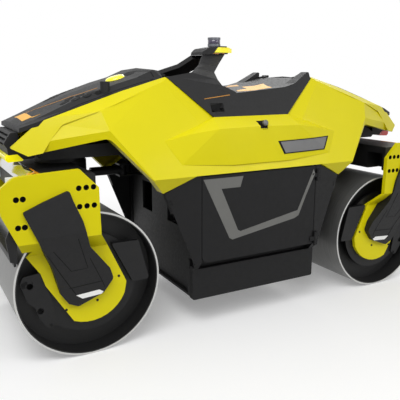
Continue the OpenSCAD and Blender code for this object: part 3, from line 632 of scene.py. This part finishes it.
# Saddle deck: decals as (x, y), line and pocket as (x, z) of the left side, turned on the right;
# the pocket is a dark sheet of painted shade
DECK_DECAL = [(-0.536, 0.041), (-0.367, 0.428), (-0.105, 0.5), (0.018, 0.414), (-0.046, 0.29),
              (-0.194, 0.254), (-0.329, -0.05)]
DECK_DECAL_SMALL = [(-0.395, -0.42), (-0.47, -0.36), (-0.39, -0.195), (-0.259, -0.256)]
DECK_LINE = [(0.469, 2.07), (0.198, 2.1)]
DECK_POCKET_SHADE = [(0.428, 2.012), (0.285, 2.032), (0.285, 1.951), (0.364, 1.934)]


def deck_details():
    deck = ["saddle_deck"]
    lay_down("deck_decal", DECK_DECAL, deck, ORANGE, "yellow_lens", "chassis")
    lay_down("deck_decal_small", DECK_DECAL_SMALL, deck, ORANGE, "yellow_lens", "chassis")
    for side, sy in SIDES:
        lay_beside(f"{side}_deck_line", seam(placed(DECK_LINE, sy), 0.006), sy, deck,
                   GOLD, "yellow_lens", "chassis")
        # Painted shade: the pocket is a dark sheet laid on the deck
        lay_beside(f"{side}_deck_pocket_shade", placed(DECK_POCKET_SHADE, sy), sy, deck,
                   DARK_AND_SHADE, "black_moulding", "chassis")


# Drum covers, as (x, z): seams and a light bar; screws on the plates round the hub
COVER_SEAMS = {
    "trap": ([(1.937, 0.966), (1.796, 0.77), (1.662, 0.776), (1.745, 1.045)], 0.006),
    "left": ([(1.982, 0.939), (1.883, 0.764), (1.756, 0.55)], 0.007),
    "right": ([(1.648, 0.863), (1.537, 0.631), (1.516, 0.573)], 0.006),
    "low": ([(1.811, 0.617), (1.537, 0.633)], 0.006),
}
COVER_LIGHT = [(1.756, 0.546), (1.563, 0.56), (1.529, 0.538), (1.546, 0.52), (1.707, 0.509)]
SCREWS = [(1.373, 0.628), (1.567, 0.449), (1.83, 0.417)]
SCREW_Y = 0.714
SCREW_HEAD = [(0.011, -0.004), (0.011, 0.004), (0.008, 0.007), (0.004, 0.007), (0.004, 0.003)]


def cover_details():
    for end, sx in ENDS:
        yoke = f"{end}_yoke"
        for side, sy in SIDES:
            cover = f"{end}_{side}_cover"
            for tag, (points, width) in COVER_SEAMS.items():
                lay_beside(f"{cover}_{tag}", seam(placed(points, sx), width), sy, [cover],
                           DARK_AND_SHADE, "black_moulding", yoke, lift=0.0012)
            lay_beside(f"{cover}_light", placed(COVER_LIGHT, sx), sy, [cover],
                       WHITE, "clear_lens", yoke, lift=0.004)
            heads = [turned_part((sx * x, sy * SCREW_Y, z), (0, sy, 0), SCREW_HEAD, 12)
                     for x, z in SCREWS]
            many(f"{end}_{side}_screws", heads, FRAME, "black_steel", yoke)


# Mast: window and fins of the scanner, amber strip along each side of the bridge, as (x, z)
MAST_STRIP = [(0.137, 2.462), (0.137, 2.480), (-0.05, 2.480), (-0.05, 2.462)]
FIN_COUNT, FIN_STEP = 3, 0.006


def mast_details():
    low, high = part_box("scanner")
    centre = ((low[0] + high[0]) / 2, (low[1] + high[1]) / 2, low[2])
    r = (high[0] - low[0]) / 2
    window = [(r - 0.004, 0.025), (r - 0.0015, 0.028), (r - 0.0015, 0.060), (r - 0.004, 0.063)]
    turned("scanner_window", window, centre, (0, 0, 1), GLASS, "scanner_housing", "chassis", 48)
    fins = []
    for k in range(FIN_COUNT):
        z = FIN_STEP * (k + 1)
        rows = [(r - 0.002, z), (r + 0.0005, z + 0.001), (r + 0.0005, z + 0.003),
                (r - 0.002, z + 0.004)]
        fins.append(turned_part(centre, (0, 0, 1), rows, 48))
    many("scanner_fins", fins, HOUSING, "scanner_housing", "chassis")
    for side, sy in SIDES:
        lay_beside(f"mast_strip_{side}", MAST_STRIP, sy, ["mast_bridge"],
                   AMBER, "yellow_lens", "chassis")


# Dome on the front hood, lamp bar under each nose lip, bright strip and corners of the crossheads
DOME_ROWS = [(0.088, 0.004), (0.09, 0.02), (0.087, 0.034), (0.076, 0.045), (0.056, 0.051),
             (0.03, 0.0535), (0.0, 0.054)]
DOME_AT = (1.1124, 0.095, 2.218)
DOME_TILT = math.radians(16)
LAMP_PROFILE = [(2.148, 1.645), (2.047, 1.65), (2.0, 1.602), (2.016, 1.594), (2.126, 1.588),
                (2.146, 1.608)]
LAMP_HALF = 0.306
LAMP_FINISH = {"front": (SUN, "yellow_lens"), "rear": (RED, "red_lens")}
REFLECTOR = [(1.985, -0.68), (2.094, -0.68), (2.094, 0.68), (1.985, 0.68)]
AMBER_CORNER = [(1.97, 0.36), (2.03, 0.5), (2.03, 0.72), (1.99, 0.78), (1.96, 0.7)]


def lamp_details():
    dome = turned("dome_lens", DOME_ROWS, DOME_AT, (math.sin(DOME_TILT), 0, math.cos(DOME_TILT)),
                  SUN, "yellow_paint", "front_hood", 40)
    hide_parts("position_dome")
    frame["nodes"]["mast_dome"].material_slots[0].material = SUN
    count = len(LAMP_PROFILE)
    caps = [list(range(count)), [count + k for k in reversed(range(count))]]
    for end, sx in ENDS:
        points = [(sx * x, y, z) for y in (-LAMP_HALF, LAMP_HALF) for x, z in LAMP_PROFILE]
        bar = piece(f"{end}_lamp_bar", points, caps + ring_faces(0, 1, count),
                    *LAMP_FINISH[end], "chassis")
        soften(bar, 0.005)
        head = f"{end}_crosshead"
        lay_down(f"{end}_reflector", placed(REFLECTOR, sx), [head],
                 CHROME, "bare_steel", f"{end}_yoke", lift=0.002, cell=0.2)
        for side, sy in SIDES:
            lay_down(f"{end}_{side}_amber_corner", placed(AMBER_CORNER, sx, sy), [head],
                     AMBER, "yellow_lens", f"{end}_yoke", lift=0.004, cell=0.2)


# Yoke plates: painted shade in each hole, a dark wall and a dark bottom, as (x from the axle, z)
HOLES = [(-0.028, 1.294), (-0.028, 1.438), (0.03, 1.294), (0.03, 1.438), (0.088, 1.294),
         (0.088, 1.438), (0.504, 1.185), (0.504, 1.396), (0.552, 1.185), (0.552, 1.396)]
SHADE_WALL_ROWS = ((0.0221, 0.8505), (0.0201, 0.8505), (0.0201, 0.814), (0.0221, 0.814))
SHADE_WALL_SIDES = 24
SHADE_BOTTOM_Y = 0.8145
SHADE_BOTTOM_ROWS = [(0.0205, 0), (0.0205, 0.003)]


def hole_shade_wall(x, z, sy):
    points, faces = [], []
    for radius, y in SHADE_WALL_ROWS:
        for k in range(SHADE_WALL_SIDES):
            a = 2 * math.pi * k / SHADE_WALL_SIDES
            points.append((x + radius * math.cos(a), sy * y, z + radius * math.sin(a)))
    rings = len(SHADE_WALL_ROWS)
    for ring in range(rings):
        faces += ring_faces(ring, (ring + 1) % rings, SHADE_WALL_SIDES)
    return points, faces


def hole_shade():
    for end, sx in ENDS:
        for side, sy in SIDES:
            parts = []
            for from_axle, z in HOLES:
                x = sx * (AXLE_X + from_axle)
                # Painted shade: a dark wall and a dark bottom fill the hole
                parts.append(hole_shade_wall(x, z, sy))
                parts.append(turned_part((x, sy * SHADE_BOTTOM_Y, z), (0, sy, 0), SHADE_BOTTOM_ROWS, 20))
            many(f"{end}_{side}_hole_shade", parts, DARK_AND_SHADE, "black_steel", f"{end}_yoke")


# Master switch on the left shell, as (x, z): plate and round key
SWITCH_PLATE = [(0.0, 1.868), (-0.075, 1.872), (-0.068, 1.80), (-0.01, 1.797)]
KEY_ROWS = [(0.024, -0.01), (0.026, 0.004), (0.026, 0.02), (0.021, 0.026), (0.0, 0.027)]
KEY_AT, KEY_AXIS = (-0.045, 0.775, 1.852), (0, 0.95, 0.3)


def switch_details():
    lay_beside("switch_plate", SWITCH_PLATE, 1, ["left_shell", "master_switch"],
               DARK_AND_SHADE, "black_moulding", "chassis", lift=0.002)
    turned("switch_key", KEY_ROWS, KEY_AT, KEY_AXIS, BADGE, "bare_steel", "chassis", 28)


# Tie-down brackets, as (x, z): a dark skin of painted shade over each oval slot
BRACKET_SLOTS = ((2.127, 0.680), (1.941, 0.293))
SLOT_HALF_X, SLOT_HALF_Z = 0.052, 0.026
SLOT_TURN = -0.23  # radians


def bracket_details():
    for end, sx in ENDS:
        for side, sy in SIDES:
            for k, (x, z) in enumerate(BRACKET_SLOTS):
                # Painted shade: the slot is a dark oval laid on the bracket
                outline = oval(sx * x, z, SLOT_HALF_X, SLOT_HALF_Z, sx * SLOT_TURN, 24)
                lay_beside(f"{end}_{side}_slot_{k}", outline, sy, [f"{end}_brackets"],
                           DARK_AND_SHADE, "black_moulding", f"{end}_yoke")


add_camera()
add_stage()
dress_nodes()
for add_details in (hood_details, badges, door_details, deck_details, cover_details, mast_details,
                    lamp_details, hole_shade, switch_details, bracket_details):
    add_details()
